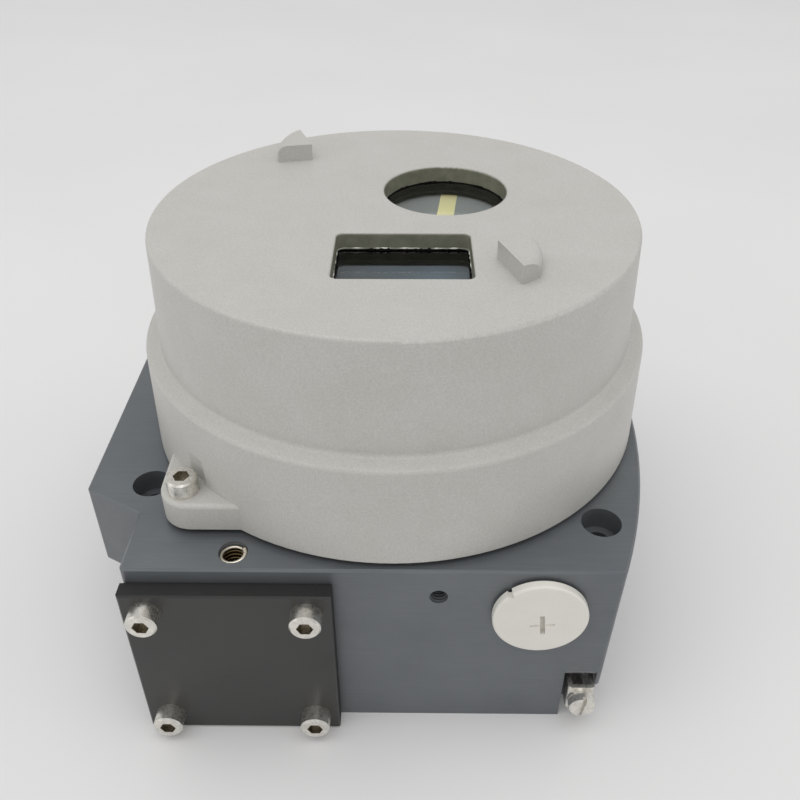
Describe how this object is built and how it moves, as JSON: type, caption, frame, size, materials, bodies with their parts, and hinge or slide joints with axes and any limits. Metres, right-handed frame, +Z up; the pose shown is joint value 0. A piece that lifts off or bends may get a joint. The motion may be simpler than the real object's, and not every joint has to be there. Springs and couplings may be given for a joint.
{
  "type": "valve positioner",
  "caption": "Electropneumatic valve positioner: drafted aluminium base with a screwed round cover, windows over indicator and display, and a feedback shaft beneath.",
  "frame": {"origin": "on the feedback shaft's axis, in the plane of the base's mounting face", "axes": "+Z up from the mounting face along the shaft to the indicator, -Y the front face with the blanking plate and the conduit entry, -X the side with the air ports"},
  "size_m": [0.1663, 0.1692, 0.1341],
  "materials": {
    "base_metal": "satin slate grey anodised casting, machined faces",
    "cover_paint": "cast aluminium under a fine textured warm light grey powder coat",
    "plate_metal": "dark grey anodised, matt",
    "stainless": "turned stainless steel, satin",
    "spring_steel": "dark spring steel",
    "bronze": "plain bearing bronze",
    "sintered_bronze": "sintered bronze, grainy",
    "black_rubber": "black sealing rubber",
    "black_bond": "black sealant bead",
    "plug_plastic": "off-white moulded plastic",
    "glass": "clear toughened glass",
    "board": "green circuit board laminate",
    "case_plastic": "dark moulded plastic",
    "key_plastic": "dark grey key caps",
    "display_plastic": "display module with blue-black panel",
    "terminal_plastic": "green terminal block",
    "magnet": "sintered magnet",
    "disc_plastic": "mid grey indicator disc",
    "mark_plastic": "pale yellow stripe",
    "coil": "wound coil under varnish"
  },
  "bodies": {
    "base": {"base_housing": "base_metal", "shaft_bush_lower": "bronze", "shaft_bush_upper": "bronze", "shaft_seal": "black_rubber", "thread_insert": "stainless", "blanking_plate": "plate_metal", "plate_gasket": "black_rubber", "plate_screws": "stainless", "conduit_plug": "plug_plastic", "conduit_plug_seal": "black_rubber", "ground_clamp": "stainless", "ground_washer": "spring_steel", "ground_screw": "stainless", "exhaust_vent": "sintered_bronze", "valve_gasket": "black_rubber", "spool_valve_body": "base_metal", "valve_end_cap_front": "plate_metal", "valve_end_cap_rear": "plate_metal", "end_cap_screws": "stainless", "valve_screws": "stainless", "prestage_body": "case_plastic", "prestage_coil": "coil", "sensor_board": "board", "sensor_board_posts": "stainless", "sensor_board_screws": "stainless", "carrier_posts": "stainless", "electronics_carrier": "case_plastic", "carrier_screws": "stainless", "main_board": "board", "terminal_block": "terminal_plastic", "terminal_screws": "stainless", "key_switches": "key_plastic", "controller_cover": "case_plastic", "controller_screws": "stainless", "display_module": "display_plastic"},
    "shaft": {"feedback_shaft": "stainless", "shaft_clip": "spring_steel", "shaft_magnet": "magnet", "indicator_disc": "disc_plastic", "indicator_mark": "mark_plastic", "indicator_hub_screw": "stainless"},
    "cover_seal": {"cover_seal_ring": "black_rubber"},
    "cover": {"round_cover": "cover_paint", "indicator_glass": "glass", "display_glass": "glass", "indicator_glass_bond": "black_bond", "display_glass_bond": "black_bond", "indicator_glass_ring": "case_plastic", "display_glass_ring": "case_plastic", "cover_lock_screw": "stainless"},
    "spool": {"spool": "stainless"},
    "button_up": {"button_up": "key_plastic"},
    "button_down": {"button_down": "key_plastic"},
    "button_enter": {"button_enter": "key_plastic"},
    "button_back": {"button_back": "key_plastic"}
  },
  "joints": [
    {"name": "shaft_turn", "type": "hinge", "parent": "base", "child": "shaft", "pos_m": [0, 0, 0], "axis": [0, 0, 1], "continuous": true},
    {"name": "cover_lift", "type": "slide", "parent": "base", "child": "cover_seal", "axis": [0, 0, 1], "range_m": [0, 0.0241]},
    {"name": "cover_turn", "type": "hinge", "parent": "cover_seal", "child": "cover", "pos_m": [-0.0153, -0.0165, 0.0626], "axis": [0, 0, 1], "range_deg": [0, 4320]},
    {"name": "spool_slide", "type": "slide", "parent": "base", "child": "spool", "axis": [0, 1, 0], "range_m": [-0.0015, 0.0015]},
    {"name": "press_up", "type": "slide", "parent": "base", "child": "button_up", "axis": [0, 0, -1], "range_m": [0, 0.0008], "stiffness_N_per_m": 2000, "springref_m": -0.0003},
    {"name": "press_down", "type": "slide", "parent": "base", "child": "button_down", "axis": [0, 0, -1], "range_m": [0, 0.0008], "stiffness_N_per_m": 2000, "springref_m": -0.0003},
    {"name": "press_enter", "type": "slide", "parent": "base", "child": "button_enter", "axis": [0, 0, -1], "range_m": [0, 0.0008], "stiffness_N_per_m": 2000, "springref_m": -0.0003},
    {"name": "press_back", "type": "slide", "parent": "base", "child": "button_back", "axis": [0, 0, -1], "range_m": [0, 0.0008], "stiffness_N_per_m": 2000, "springref_m": -0.0003}
  ],
  "couplings": [
    {"joint": "cover_lift", "follows": "cover_turn", "m_per_rad": 0.00031831}
  ]
}
